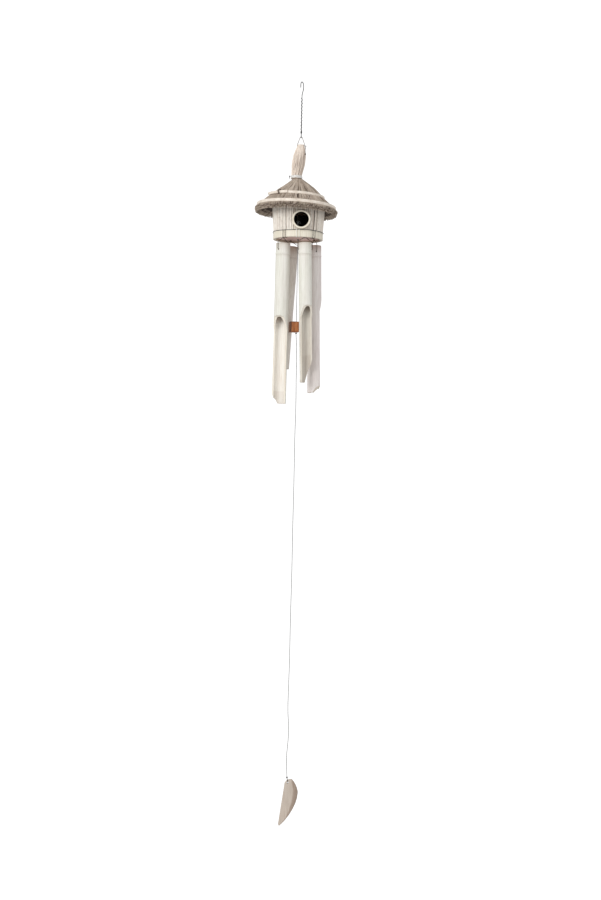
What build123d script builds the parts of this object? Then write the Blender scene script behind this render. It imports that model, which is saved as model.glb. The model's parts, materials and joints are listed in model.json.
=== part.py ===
"""A bamboo wind chime: a wire hook, a thatched bird house, four cut bamboo tubes, a wooden striker and a sail.

Millimetres. The origin is the inside of the hook's crown, where its support bears. +Z is up, the house's
entrance faces -Y and +X is to the right of somebody who looks at the entrance. All of it hangs below the origin.
"""

from build123d import *
import math
import os

# The hook. Its crook lies in an upright plane that is turned about Z.
HOOK_WIRE = 1.3
CROOK_RADIUS = 5.8
CROOK_TURN = 67
CROOK_TIP_Z = -9.6
SHANK_TOP_Z = -22
SHANK_END_Z = -83.5
EYE_RADIUS = 2.7
WRAP_WIRE = 0.75
WRAP_PITCH = 5.5
BINDING_TURNS = 4

# The cord between the hook's eye and the top knot.
HANGER_CORD = 1.0
HANGER_ARC = 1.6
HANGER_HALF_WIDTH = 6.9
HANGER_HOLE_Z = -102.3
HANGER_HOLE = 1.7

# The top knot, a leaning bundle: the centre's X, the radius and the height of each round section.
TOPKNOT_SECTIONS = [
    (0, 4.8, -99.5),
    (-0.8, 7.9, -108),
    (-2.1, 10.3, -118),
    (-3.55, 10.7, -131),
    (-6.1, 8.3, -150),
    (-6.2, 8.0, -154.5),
]
NECK_X = -6.2
NECK_RADIUS = 8.3
NECK_TIE_Z = -150
NECK_TIE_CORD = 1.2
NECK_TIE_TURNS = 4

# The roof. Radii and heights are from its own axis, before it tips down to the right about TILT_Z.
ROOF_X = -5.6
ROOF_TILT = 2.5
TILT_Z = -200
ROOF_TOP = (8.0, -155.1)
ROOF_SLOPE = [(17, -163.2), (29, -172), (41.2, -182), (52, -191.2), (61.7, -199.5)]
EAVE_TOP = (67.4, -205.2)
EAVE_BOTTOM = (65.4, -212)
UNDERSIDE_LOW = (57.5, -208)
UNDERSIDE_HIGH = (14, -171)
UPPER_HOOP = (44.6, -183.4)
LOWER_HOOP = (63.6, -198.9)
HOOP_THICK = 2.6
HOOP_HEIGHT = 5.2
HOOP_END_ANGLE = 205
FRAME_RING = (34, -190.2)
FRAME_RING_CANE = 3.0

# The house: reeds that stand on a slice of bamboo.
HOUSE_X = -1.8
REED_COUNT = 60
REED_THICK = 2.4
REED_GAP = 0.25
WALL_FOOT_RADIUS = 39.6
WALL_FOOT_Z = -241
WALL_HEAD_RADIUS = 42.2
WALL_HEAD_Z = -198
BASE_RADIUS = 40
BASE_WALL = 4.7
BASE_HEIGHT = 11.5
FLOOR_THICK = 3.5
FLOOR_RECESS = 3.6
WALL_HOOP_WIDE = 2.4
WALL_HOOP_TALL = 3.6
WALL_HOOP_UPPER_Z = -205
ENTRANCE_X = 3
ENTRANCE_Z = -225.8
ENTRANCE_RADIUS = 14.8
ENTRANCE_WALL = 3.0
ENTRANCE_FRONT_Y = -46
ENTRANCE_BACK_Y = -37.7
BASE_WIRE = 0.9
TIE_CORD = 1.0
TIE_ANGLES = [238, 270, 308]
TIE_SPREAD = 2.6

# The four tubes: where each hangs round the house's axis, which way its cross hole runs, its outer diameter,
# its length, its lean about Y, the way its cut faces, how far down the cut starts, and which lower corner is
# trimmed off to a tip, over what length and by what share of the radius.
TUBE_RING = 27
TUBE_TOP_Z = -260
TUBE_HOLE_DROP = 10.5
TUBE_HOLE = 2.4
TUBE_NODE_DROP = 17
TUBE_WALL = 2.9
SEPTUM = 2.4
TUBES = [
    {"at": 210, "hole": 232, "od": 23.2, "length": 255, "lean": 0.5, "faces": 250, "cut": 115.5,
     "tip": -1, "tip_length": 18, "tip_share": 0.62},
    {"at": 116, "hole": 20, "od": 24, "length": 198, "lean": 3.2, "faces": 110, "cut": 72,
     "tip": 1, "tip_length": 14, "tip_share": 0.5},
    {"at": 295, "hole": 20, "od": 21.4, "length": 221, "lean": -1.75, "faces": 299, "cut": 99,
     "tip": 1, "tip_length": 42, "tip_share": 0.88},
    {"at": 16.5, "hole": 290, "od": 24, "length": 236, "lean": -1.5, "faces": 42, "cut": 83,
     "tip": -1, "tip_length": 13, "tip_share": 0.55},
]
CUT_ENTRY = 2.2
CUT_SLOPE = 0.38
CUT_DEPTH = 0.08

# The cords of the tubes, each a loop from a knot under the floor.
TUBE_CORD = 1.0
CORD_KNOT = 3.0
CORD_STAND_OFF = 1.6

# The line down the middle, the striker on it, and the sail.
LINE = 1.0
LINE_KNOT = 3.2
LINE_TOP_Z = -252
STRIKER_SIDE = 13.5
STRIKER_HEIGHT = 17
STRIKER_TURN = 16.5
STRIKER_OFFSET = -3.5
STRIKER_TOP_Z = -383
STRIKER_HOLE = 1.7
SAIL_HOLE_X = -0.6
SAIL_HOLE_Z = -1120
SAIL_HOLE = 3.0
SAIL_THICK = 4.2
SAIL_CROWN = 46
SAIL_CROWN_X = -6.2
LOOP_WIRE = 1.0
LOOP_RADIUS = 3.5
LOOP_LEAN = -10
LOOP_KNOT_UP = 8
SAIL_LINE_X = -2.0

# The route of the line from the striker's stop knot to the sail's knot: X, Y and Z of each point.
SAIL_LINE_ROUTE = [
    (-1.8, 0, -403.9),
    (0.2, 0.4, -432),
    (-0.3, -0.3, -470),
    (0.4, 0.2, -516),
    (-0.6, 0.5, -572),
    (-0.3, -0.2, -640),
    (-0.9, -0.5, -712),
    (-0.7, 0.3, -786),
    (-1.6, 0.5, -856),
    (-1.5, -0.3, -920),
    (-2.3, -0.5, -970),
    (-2.9, 0.2, -1004),
    (-1.0, 0.5, -1028),
    (-1.0, 0.1, -1052),
    (-3.2, -0.2, -1074),
    (-3.0, 0, -1092),
    (SAIL_LINE_X, 0, -1110.4),
]

parts = {}


def place(radius, degrees, z, about_x=0.0):
    """The point at that radius and angle round an upright axis at X = about_x."""
    turn = math.radians(degrees)
    return (about_x + radius * math.cos(turn), radius * math.sin(turn), z)


def wire_along(points, radii, diameter, name=""):
    """A round wire or cord along straight runs that tangent arcs join."""
    path = FilletPolyline(*points, radius=radii)
    wire = sweep(Plane(path @ 0, z_dir=path % 0) * Circle(diameter / 2), path=path)
    expected = math.pi * diameter**2 / 4 * path.length
    if name:
        print(f"{name}: length {path.length:.1f} mm, volume {wire.volume / expected:.4f} of section times length")
    return wire


def cord_radii(points, name):
    """The radius of each corner: 0.45 of the shorter run, divided by the tangent of half the turn."""
    radii = []
    for before, corner, after in zip(points, points[1:], points[2:]):
        run_in = Vector(corner) - Vector(before)
        run_out = Vector(after) - Vector(corner)
        half_turn = math.radians(run_in.get_angle(run_out)) / 2
        radii.append(0.45 * min(run_in.length, run_out.length) / math.tan(half_turn))
    print(f"{name}: radii {[round(r) for r in radii]}")
    return radii


def knot(x, y, z, diameter):
    """A ball, turned so that its seam and poles stay off the cord that enters it."""
    return Pos(x, y, z) * Rot(31, 17, 9) * Sphere(diameter / 2)


def flat_ring(outer_radius, thick, height, z, about_x):
    """A hoop of rectangular section, centred at height z."""
    hoop = Cylinder(outer_radius, height) - Cylinder(outer_radius - thick, height)
    return Pos(about_x, 0, z) * hoop


def wire_ring(radius, diameter, z, about_x):
    return Pos(about_x, 0, z) * Torus(radius, diameter / 2)


def on_line(start, end, share):
    """The height on a straight line between two (radius, z) points, at that radius."""
    return start[1] + (end[1] - start[1]) * (share - start[0]) / (end[0] - start[0])


def hook():
    def in_crook_plane(across, z):
        turn = math.radians(CROOK_TURN)
        return (across * math.cos(turn), across * math.sin(turn), z)

    crown_z = HOOK_WIRE / 2
    corner = CROOK_RADIUS - 0.02
    points = [
        in_crook_plane(-CROOK_RADIUS, CROOK_TIP_Z),
        in_crook_plane(-CROOK_RADIUS, crown_z),
        in_crook_plane(CROOK_RADIUS, crown_z),
        in_crook_plane(CROOK_RADIUS, crown_z - 9.5),
        (0, 0, SHANK_TOP_Z + 2),
        (0, 0, SHANK_END_Z),
    ]
    wire = wire_along(points, [corner, corner, 7, 7], HOOK_WIRE)
    eye_z = SHANK_END_Z - EYE_RADIUS
    wire += Pos(0, 0, eye_z) * Rot(0, 90, 0) * Torus(EYE_RADIUS, HOOK_WIRE / 2)
    parts["hook_wire"] = wire

    wrap_radius = (HOOK_WIRE + WRAP_WIRE) / 2 + 0.02
    wrap_foot = SHANK_END_Z + 6
    coil = Helix(WRAP_PITCH, SHANK_TOP_Z - 3 - wrap_foot, wrap_radius, center=(0, 0, wrap_foot))
    parts["hook_wrap"] = sweep(Plane(coil @ 0, z_dir=coil % 0) * Circle(WRAP_WIRE / 2), path=coil)

    turns = [
        wire_ring(wrap_radius, WRAP_WIRE, wrap_foot - 1.2 - (WRAP_WIRE + 0.05) * i, 0) for i in range(BINDING_TURNS)
    ]
    parts["hook_eye_binding"] = Compound(children=turns)
    return eye_z - EYE_RADIUS


def hanger(eye_bottom_z):
    """The cord's loop hangs over the eye's lowest wire and runs through the top knot along X."""
    top = eye_bottom_z + HANGER_ARC
    points = [
        (-HANGER_ARC, 0, top),
        (HANGER_ARC, 0, top),
        (HANGER_HALF_WIDTH, 0, HANGER_HOLE_Z),
        (-HANGER_HALF_WIDTH, 0, HANGER_HOLE_Z),
    ]
    loop = FilletPolyline(*points, radius=[1.25, 1.25, 1.5, 1.5], close=True)
    parts["hanger_cord"] = sweep(Plane(loop @ 0, z_dir=loop % 0) * Circle(HANGER_CORD / 2), path=loop)

    knot_x = HANGER_HALF_WIDTH + 1.5
    tail_points = [
        (knot_x, 0, HANGER_HOLE_Z + 0.6),
        (knot_x - 0.9, -2.5, HANGER_HOLE_Z - 5),
        (knot_x - 1.1, -4.5, HANGER_HOLE_Z - 9.5),
        (knot_x - 0.6, -6.0, HANGER_HOLE_Z - 13.5),
    ]
    tail = wire_along(tail_points, [4, 4], HANGER_CORD)
    tail += knot(*tail_points[0], 1.8)
    tail += knot(*tail_points[-1], 2.8)
    parts["hanger_cord_tail"] = tail


def top_knot():
    bundle = loft([Pos(x, 0, z) * Circle(radius) for x, radius, z in TOPKNOT_SECTIONS])
    bundle -= Pos(0, 0, HANGER_HOLE_Z) * Rot(0, 90, 0) * Cylinder(HANGER_HOLE / 2, 40)
    parts["thatch_topknot"] = bundle

    pitch = NECK_TIE_CORD + 0.05
    turn_radius = NECK_RADIUS + NECK_TIE_CORD / 2 + 0.15
    turns = [wire_ring(turn_radius, NECK_TIE_CORD, NECK_TIE_Z - pitch * i, NECK_X) for i in range(NECK_TIE_TURNS)]
    parts["neck_tie"] = Compound(children=turns)

    twist_x = NECK_X - turn_radius - NECK_TIE_CORD / 2 - 0.5
    twist_points = [
        (twist_x - 0.6, -1.5, NECK_TIE_Z - 0.6),
        (twist_x - 1.5, -2.4, NECK_TIE_Z - 2.4),
        (twist_x - 0.9, -2.8, NECK_TIE_Z - 4.6),
    ]
    twist = wire_along(twist_points, [1.4], NECK_TIE_CORD)
    twist += knot(*twist_points[0], 2.2)
    parts["neck_tie_twist"] = twist


def roof():
    tilt = Pos(ROOF_X, 0, TILT_Z) * Rot(0, ROOF_TILT, 0) * Pos(-ROOF_X, 0, -TILT_Z)
    outer = Spline(ROOF_TOP, *ROOF_SLOPE, EAVE_TOP)
    edge = Polyline(
        EAVE_TOP, EAVE_BOTTOM, UNDERSIDE_LOW, UNDERSIDE_HIGH, (0, UNDERSIDE_HIGH[1]), (0, ROOF_TOP[1]), ROOF_TOP
    )
    section = Plane.XZ * make_face(outer + edge)
    thatch = Pos(ROOF_X, 0, 0) * revolve(section, Axis.Z)
    upper = flat_ring(UPPER_HOOP[0], HOOP_THICK, HOOP_HEIGHT, UPPER_HOOP[1], ROOF_X)
    lower = flat_ring(LOWER_HOOP[0], HOOP_THICK, HOOP_HEIGHT, LOWER_HOOP[1], ROOF_X)
    frame_ring = wire_ring(FRAME_RING[0], FRAME_RING_CANE, FRAME_RING[1] - FRAME_RING_CANE, ROOF_X)
    parts["roof_hoop_upper"] = tilt * upper
    parts["roof_hoop_lower"] = tilt * lower
    parts["roof_frame_ring"] = tilt * frame_ring

    end_radius = UPPER_HOOP[0] + HOOP_THICK / 2 + 0.1
    start = place(end_radius, HOOP_END_ANGLE + 48, UPPER_HOOP[1] + 0.4, ROOF_X)
    middle = place(end_radius + 0.6, HOOP_END_ANGLE + 22, UPPER_HOOP[1] + 0.2, ROOF_X)
    end = place(end_radius + 2.9, HOOP_END_ANGLE - 4, UPPER_HOOP[1] - 0.6, ROOF_X)
    path = ThreePointArc(start, middle, end)
    strip = Plane(path @ 0, x_dir=(0, 0, 1), z_dir=path % 0) * Rectangle(HOOP_HEIGHT - 0.8, 2.0)
    parts["roof_hoop_upper_end"] = tilt * sweep(strip, path=path)

    tie_angle = HOOP_END_ANGLE + 28
    tie_at = Plane(place(UPPER_HOOP[0] + 0.2, tie_angle, UPPER_HOOP[1], ROOF_X), z_dir=place(1, tie_angle + 90, 0))
    bands = [tie_at.offset(step) * Torus(4.2, 0.45) for step in (-1.1, 0, 1.1)]
    parts["roof_hoop_tie"] = Compound(children=[tilt * band for band in bands])
    parts["thatch_roof"] = tilt * (thatch - upper - lower - bands)


def wall():
    lean = math.degrees(math.atan2(WALL_HEAD_RADIUS - WALL_FOOT_RADIUS, WALL_HEAD_Z - WALL_FOOT_Z))
    pitch = 360 / REED_COUNT
    width = 2 * math.pi * WALL_FOOT_RADIUS / REED_COUNT - REED_GAP
    opening = Pos(ENTRANCE_X, -40, ENTRANCE_Z) * Rot(90, 0, 0) * Cylinder(ENTRANCE_RADIUS + 0.2, 30)
    runs = {"front": [], "right": [], "back": [], "left": []}
    for i in range(REED_COUNT):
        angle = pitch * (i + 0.5)
        head = place(WALL_HEAD_RADIUS, angle, 0, HOUSE_X)
        from_roof_axis = math.hypot(head[0] - ROOF_X, head[1])
        head_z = on_line(UNDERSIDE_LOW, UNDERSIDE_HIGH, from_roof_axis) - 1.2
        head_z -= (head[0] - ROOF_X) * math.tan(math.radians(ROOF_TILT))
        length = (head_z - WALL_FOOT_Z) / math.cos(math.radians(lean))
        reed = Pos(-REED_THICK / 2, 0, length / 2) * Box(REED_THICK, width, length)
        reed = Pos(HOUSE_X, 0, WALL_FOOT_Z) * Rot(0, 0, angle) * Pos(WALL_FOOT_RADIUS, 0, 0) * Rot(0, lean, 0) * reed
        side = ["right", "back", "left", "front"][int((angle + 45) % 360 // 90)]
        if side == "front":
            reed -= opening
        runs[side] += reed.solids()
    for side, reeds in runs.items():
        parts[f"wall_reeds_{side}"] = Compound(children=reeds)

    for name, z in (("upper", WALL_HOOP_UPPER_Z), ("lower", WALL_FOOT_Z + WALL_HOOP_TALL / 2)):
        foot = (WALL_FOOT_RADIUS, WALL_FOOT_Z)
        share = (z - WALL_HOOP_TALL / 2 - foot[1]) / (WALL_HEAD_Z - foot[1])
        inner = foot[0] + share * (WALL_HEAD_RADIUS - foot[0]) - REED_THICK - 0.1
        parts[f"wall_hoop_{name}"] = flat_ring(inner, WALL_HOOP_WIDE, WALL_HOOP_TALL, z, HOUSE_X)

    length = ENTRANCE_BACK_Y - ENTRANCE_FRONT_Y
    ring = Cylinder(ENTRANCE_RADIUS, length) - Cylinder(ENTRANCE_RADIUS - ENTRANCE_WALL, length)
    ring_y = (ENTRANCE_BACK_Y + ENTRANCE_FRONT_Y) / 2
    parts["entrance_ring"] = Pos(ENTRANCE_X, ring_y, ENTRANCE_Z) * Rot(90, 0, 0) * ring


def tube_centre(tube, z):
    return place(TUBE_RING, tube["at"], z, HOUSE_X)


def base():
    base_bottom = WALL_FOOT_Z - BASE_HEIGHT
    parts["base_ring"] = flat_ring(BASE_RADIUS, BASE_WALL, BASE_HEIGHT, WALL_FOOT_Z - BASE_HEIGHT / 2, HOUSE_X)
    floor_under = base_bottom + FLOOR_RECESS
    floor_z = floor_under + FLOOR_THICK / 2
    disc = Pos(HOUSE_X, 0, floor_z) * Cylinder(BASE_RADIUS - BASE_WALL, FLOOR_THICK)
    cord_holes = [(HOUSE_X, 0)] + [tube_centre(tube, 0)[:2] for tube in TUBES]
    stops = []
    for x, y in cord_holes:
        disc -= Pos(x, y, floor_z) * Cylinder(LINE / 2 + 0.4, FLOOR_THICK)
        stops.append(
            Pos(x, y, floor_z) * Cylinder(LINE / 2, FLOOR_THICK)
            + knot(x, y, floor_z + FLOOR_THICK / 2 + 1.55, 3.4)
        )
    parts["floor_disc"] = disc
    parts["floor_knots"] = Compound(children=stops)
    parts["base_wire"] = wire_ring(BASE_RADIUS + BASE_WIRE / 2 + 0.05, BASE_WIRE, WALL_FOOT_Z - 0.2, HOUSE_X)

    out = BASE_RADIUS + BASE_WIRE + TIE_CORD / 2 + 0.2
    inside = BASE_RADIUS - BASE_WALL - TIE_CORD / 2 - 0.3
    under = base_bottom - TIE_CORD / 2 - 0.1
    for number, middle in enumerate(TIE_ANGLES, 1):
        strands = []
        for angle in (middle - TIE_SPREAD * 1.3, middle + TIE_SPREAD):
            points = [
                place(out, angle, WALL_FOOT_Z + 0.2, HOUSE_X),
                place(out, angle, under, HOUSE_X),
                place(inside, angle, under, HOUSE_X),
                place(inside, angle, floor_under - 0.1, HOUSE_X),
            ]
            strands.append(wire_along(points, [1.4, 1.4], TIE_CORD))
        parts[f"base_tie_{number}"] = Compound(children=strands)
    return floor_under


def tube_solid(tube):
    """A tube that stands upright with its cross hole's middle at the origin and its cut facing +X."""
    outer, bore = tube["od"] / 2, tube["od"] / 2 - TUBE_WALL
    length, top = tube["length"], TUBE_HOLE_DROP
    foot = top - length
    body = Pos(0, 0, (top + foot) / 2) * Cylinder(outer, length)
    node_z = top - TUBE_NODE_DROP
    body += Pos(0, 0, node_z) * Torus(outer - 0.6, 1.0)
    cup = top - node_z - SEPTUM / 2
    body -= Pos(0, 0, top - cup / 2) * Cylinder(bore, cup)
    hollow = node_z - SEPTUM / 2 - foot
    body -= Pos(0, 0, foot + hollow / 2) * Cylinder(bore, hollow)

    cut_top = top - tube["cut"]
    depth = outer * CUT_DEPTH
    through = (bore - 0.3, cut_top - CUT_ENTRY)
    cut_edge = Polyline(
        (outer + 1, cut_top + 0.9),
        through,
        (depth, through[1] - (through[0] - depth) / CUT_SLOPE),
        (depth, foot - 1),
        (outer + 1, foot - 1),
        (outer + 1, cut_top + 0.9),
    )
    body -= extrude(Plane.XZ * make_face(cut_edge), amount=outer + 2, both=True)

    side = tube["tip"]
    reach = outer + 1
    tip = Polyline(
        (side * reach, foot + tube["tip_length"]),
        (side * reach, foot - 1),
        (side * (reach - outer * tube["tip_share"] - 1), foot - 1),
        (side * reach, foot + tube["tip_length"]),
    )
    body -= extrude(Plane.YZ * make_face(tip), amount=reach, both=True)
    return body


def tubes(floor_under):
    for number, tube in enumerate(TUBES, 1):
        pivot = Vector(*tube_centre(tube, TUBE_TOP_Z - TUBE_HOLE_DROP))
        hole = Rot(0, 0, tube["hole"]) * Rot(0, 90, 0) * Cylinder(TUBE_HOLE / 2, 60)
        body = Rot(0, tube["lean"], 0) * Rot(0, 0, tube["faces"]) * tube_solid(tube)
        parts[f"tube_{number}"] = Pos(*pivot) * (body - hole)

        half = tube["od"] / 2 + CORD_STAND_OFF
        knot_z = floor_under - CORD_KNOT / 2 - 0.3
        rim_z = TUBE_TOP_Z + 1.2

        def strand(across, z):
            x, y, _ = place(across, tube["hole"], z)
            return (pivot.X + x, pivot.Y + y, z)

        points = [
            strand(0.6, knot_z),
            strand(half, rim_z),
            strand(half, pivot.Z),
            strand(-half, pivot.Z),
            strand(-half, rim_z),
            strand(-0.6, knot_z),
        ]
        loop = wire_along(points, [3, 1.3, 1.3, 3], TUBE_CORD)
        parts[f"tube_cord_{number}"] = loop + knot(*tube_centre(tube, knot_z), CORD_KNOT)


def striker():
    parts["striker_line_knot"] = knot(HOUSE_X, 0, LINE_TOP_Z, LINE_KNOT)
    bottom = STRIKER_TOP_Z - STRIKER_HEIGHT
    line_top = LINE_TOP_Z - LINE_KNOT / 2 - 0.1
    line_length = line_top - bottom
    parts["striker_line"] = Pos(HOUSE_X, 0, line_top - line_length / 2) * Cylinder(LINE / 2, line_length)
    block = Box(STRIKER_SIDE, STRIKER_SIDE, STRIKER_HEIGHT)
    block = chamfer(block.edges(), 0.7)
    block = Pos(HOUSE_X + STRIKER_OFFSET, 0, STRIKER_TOP_Z - STRIKER_HEIGHT / 2) * Rot(0, 0, STRIKER_TURN) * block
    block -= Pos(HOUSE_X, 0, STRIKER_TOP_Z - STRIKER_HEIGHT / 2) * Cylinder(STRIKER_HOLE / 2, STRIKER_HEIGHT)
    parts["striker_block"] = block
    parts["striker_stop_knot"] = knot(HOUSE_X, 0, bottom - LINE_KNOT / 2 - 0.3, LINE_KNOT)


def sail():
    radii = cord_radii(SAIL_LINE_ROUTE, "sail_line")
    parts["sail_line"] = wire_along(SAIL_LINE_ROUTE, radii, LINE, "sail_line")

    hole = Pos(SAIL_HOLE_X, 0, SAIL_HOLE_Z)
    lean = hole * Rot(0, LOOP_LEAN, 0)
    loop = lean * Pos(0, 0, LOOP_RADIUS) * Rot(0, 90, 0) * Torus(LOOP_RADIUS, LOOP_WIRE / 2)
    knot_at = (lean * Pos(0, 0, LOOP_KNOT_UP)).position
    parts["sail_knot"] = loop + knot(*knot_at, 3)

    left = Line((-14.8, -1187), (-5.5, -1120.8))
    shoulder = ThreePointArc((-5.5, -1120.8), (-1.2, -1116), (6.1, -1115))
    upper = ThreePointArc((6.1, -1115), (12.2, -1124), (16, -1136))
    lower = ThreePointArc((16, -1136), (8.6, -1162.5), (-13.2, -1190))
    tip = Line((-13.2, -1190), (-14.8, -1187))
    outline = Plane.XZ * make_face(left + shoulder + upper + lower + tip)
    slab = extrude(outline, amount=30, both=True)
    crown_axis = Pos(SAIL_CROWN_X, SAIL_CROWN - SAIL_THICK / 2, -1152) * Rot(0, 8, 0)
    shell = crown_axis * (Cylinder(SAIL_CROWN, 120) - Cylinder(SAIL_CROWN - SAIL_THICK, 120))
    piece = max((slab & shell).solids(), key=lambda solid: -solid.center().Y)
    piece -= hole * Rot(90, 0, 0) * Cylinder(SAIL_HOLE / 2, 60)
    parts["sail"] = piece


eye_bottom = hook()
hanger(eye_bottom)
top_knot()
roof()
wall()
under_floor = base()
tubes(under_floor)
striker()
sail()

os.makedirs("parts", exist_ok=True)
for node, shape in parts.items():
    export_step(shape, f"parts/{node}.step")
print(len(parts), "nodes")
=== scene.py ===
"""The looks of the bamboo wind chime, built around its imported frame. Metres, +Z up, the entrance faces -Y."""

import json
from collections import namedtuple
from math import acos, cos, degrees as in_degrees, exp, pi, radians, sin, sqrt, tan
from random import choice, seed, uniform

import bmesh
import bpy
from mathutils import Matrix, Vector


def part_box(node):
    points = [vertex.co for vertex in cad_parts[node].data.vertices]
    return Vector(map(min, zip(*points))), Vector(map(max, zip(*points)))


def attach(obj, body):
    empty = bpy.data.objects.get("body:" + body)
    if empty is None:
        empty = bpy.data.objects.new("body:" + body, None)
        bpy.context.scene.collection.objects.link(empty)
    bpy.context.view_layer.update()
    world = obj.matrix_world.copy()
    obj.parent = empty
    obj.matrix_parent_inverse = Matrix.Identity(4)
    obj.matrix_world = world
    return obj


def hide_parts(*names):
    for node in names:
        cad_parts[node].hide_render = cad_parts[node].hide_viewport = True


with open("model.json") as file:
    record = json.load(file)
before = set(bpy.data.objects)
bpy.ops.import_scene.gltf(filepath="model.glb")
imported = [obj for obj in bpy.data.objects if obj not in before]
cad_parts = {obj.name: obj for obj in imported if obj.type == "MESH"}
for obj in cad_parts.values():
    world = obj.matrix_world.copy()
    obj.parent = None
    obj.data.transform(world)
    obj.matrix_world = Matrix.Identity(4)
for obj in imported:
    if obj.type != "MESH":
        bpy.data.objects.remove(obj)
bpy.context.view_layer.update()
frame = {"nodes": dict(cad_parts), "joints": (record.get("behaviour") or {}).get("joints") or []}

MM = 0.001
seed(7)
joints = {joint["name"]: joint for joint in frame["joints"]}


# ---- the frame's places


def middle(node):
    low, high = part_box(node)
    return (Vector(low) + Vector(high)) / 2


def half_width(node):
    low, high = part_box(node)
    return (high[0] - low[0]) / 2


def pivot(joint):
    return Vector(joints[joint]["pos_m"])


def polar(centre, radius, degrees, height):
    """The point at a radius from a centre, a way round it, and a height, both in millimetres."""
    turn = radians(degrees)
    return Vector((centre.x + radius * MM * cos(turn), centre.y + radius * MM * sin(turn), height * MM))


def way(degrees, level=1, up=0):
    """A direction with a level part, which points a way round Z, and an upward part."""
    turn = radians(degrees)
    return Vector((level * cos(turn), level * sin(turn), up))


# ---- materials


class Nodes:
    """A short way to write a material's node tree."""

    def __init__(self, name):
        self.material = bpy.data.materials.new(name)
        self.material.use_nodes = True
        self.tree = self.material.node_tree
        self.shader = self.tree.nodes["Principled BSDF"]

    def add(self, kind, inputs=(), **settings):
        node = self.tree.nodes.new(kind)
        for key, value in settings.items():
            setattr(node, key, value)
        for socket, value in dict(inputs).items():
            self.join(value, node.inputs[socket])
        return node

    def join(self, value, socket):
        if isinstance(value, bpy.types.NodeSocket):
            self.tree.links.new(value, socket)
        else:
            socket.default_value = value

    def noise(self, across, along, detail, roughness):
        """Noise over object coordinates, as fine as it says across Z and along it."""
        place = {"Vector": self.add("ShaderNodeTexCoord").outputs["Object"], "Scale": (across, across, along)}
        place = self.add("ShaderNodeMapping", place).outputs["Vector"]
        inputs = {"Vector": place, "Scale": 1.0, "Detail": detail, "Roughness": roughness}
        return self.add("ShaderNodeTexNoise", inputs).outputs["Fac"]

    def ramp(self, value, *stops):
        node = self.add("ShaderNodeValToRGB", {"Fac": value})
        elements = node.color_ramp.elements
        for element, (position, colour) in zip(elements[:], (stops[0], stops[-1])):
            element.position, element.color = position, rgba(colour)
        for position, colour in stops[1:-1]:
            elements.new(position).color = rgba(colour)
        return node.outputs["Color"]

    def mix(self, share, first, second, blend="MIX"):
        node = self.add("ShaderNodeMix", data_type="RGBA", blend_type=blend)
        self.join(share, node.inputs["Factor"])
        for colour, socket in ((first, 6), (second, 7)):
            self.join(colour if isinstance(colour, bpy.types.NodeSocket) else rgba(colour), node.inputs[socket])
        return node.outputs[2]

    def math(self, operation, first, second=0.0):
        node = self.add("ShaderNodeMath", operation=operation)
        self.join(first, node.inputs[0])
        self.join(second, node.inputs[1])
        return node.outputs[0]

    def attribute(self, name):
        return self.add("ShaderNodeAttribute", attribute_name=name).outputs["Fac"]

    def bump(self, height, strength, distance):
        inputs = {"Height": height, "Strength": strength, "Distance": distance}
        self.join(self.add("ShaderNodeBump", inputs).outputs["Normal"], self.shader.inputs["Normal"])

    def finish(self, colour, roughness, **numbers):
        self.join(colour, self.shader.inputs["Base Color"])
        self.join(roughness, self.shader.inputs["Roughness"])
        for name, value in numbers.items():
            self.shader.inputs[name.replace("_", " ").title()].default_value = value
        return self.material


def rgba(colour):
    """A colour, or the grey that one number means, with its alpha."""
    return (*colour, 1.0) if isinstance(colour, tuple) else (colour, colour, colour, 1.0)


def washed_bamboo(name, wash, under, stain, tint):
    """Thin white paint on bamboo: streaks along the fibres, worn spots, and a faint coloured tint."""
    n = Nodes(name)
    fibres = n.noise(900, 9, 6.0, 0.7)
    fine = n.noise(2600, 30, 3.0, 0.6)
    patches = n.noise(45, 14, 3.0, 0.55)
    spots = n.noise(420, 160, 5.0, 0.75)
    colour = n.mix(n.ramp(fibres, (0.50, 0.0), (0.78, 0.62)), wash, under)
    colour = n.mix(n.ramp(patches, (0.42, 0.0), (0.75, 0.75)), colour, tint)
    colour = n.mix(n.ramp(spots, (0.66, 0.0), (0.76, 0.7)), colour, stain)
    colour = n.mix(n.ramp(fine, (0.25, 0.55), (0.55, 0.0)), colour, stain)
    # The shade attribute darkens the colour. It is painted shade in the bores, under the house, in the rings' hollows
    # and on the sail's side turned from the light. It is the own tone of the tubes' nodes and cut edges.
    colour = n.mix(n.attribute("shade"), colour, n.mix(1.0, colour, (0.52, 0.42, 0.36), "MULTIPLY"))
    n.bump(n.math("ADD", fibres, n.math("MULTIPLY", spots, 0.5)), 0.35, 0.0006)
    return n.finish(colour, n.ramp(patches, (0.3, 0.48), (0.8, 0.7)))


def dry_stalk(name, pale, mid, dark, green):
    """Grass and split reed: each strand has its own shade, with short flecks of bare brown under the wash."""
    n = Nodes(name)
    flecks = n.noise(520, 130, 6.0, 0.7)
    blotches = n.noise(60, 40, 3.0, 0.6)
    # The shade attribute picks each strand's own tone. It also carries painted shade: the dark skin under the roof's
    # stalks, the top knot's core and deeper stalks, and the reeds' edges, heads and seams.
    colour = n.ramp(n.attribute("shade"), (0.0, pale), (0.55, mid), (1.0, dark))
    colour = n.mix(n.ramp(flecks, (0.5, 0.0), (0.72, 0.7)), colour, dark)
    colour = n.mix(n.ramp(blotches, (0.52, 0.0), (0.75, 0.45)), colour, green)
    n.bump(flecks, 0.5, 0.0005)
    return n.finish(colour, 0.8)


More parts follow.
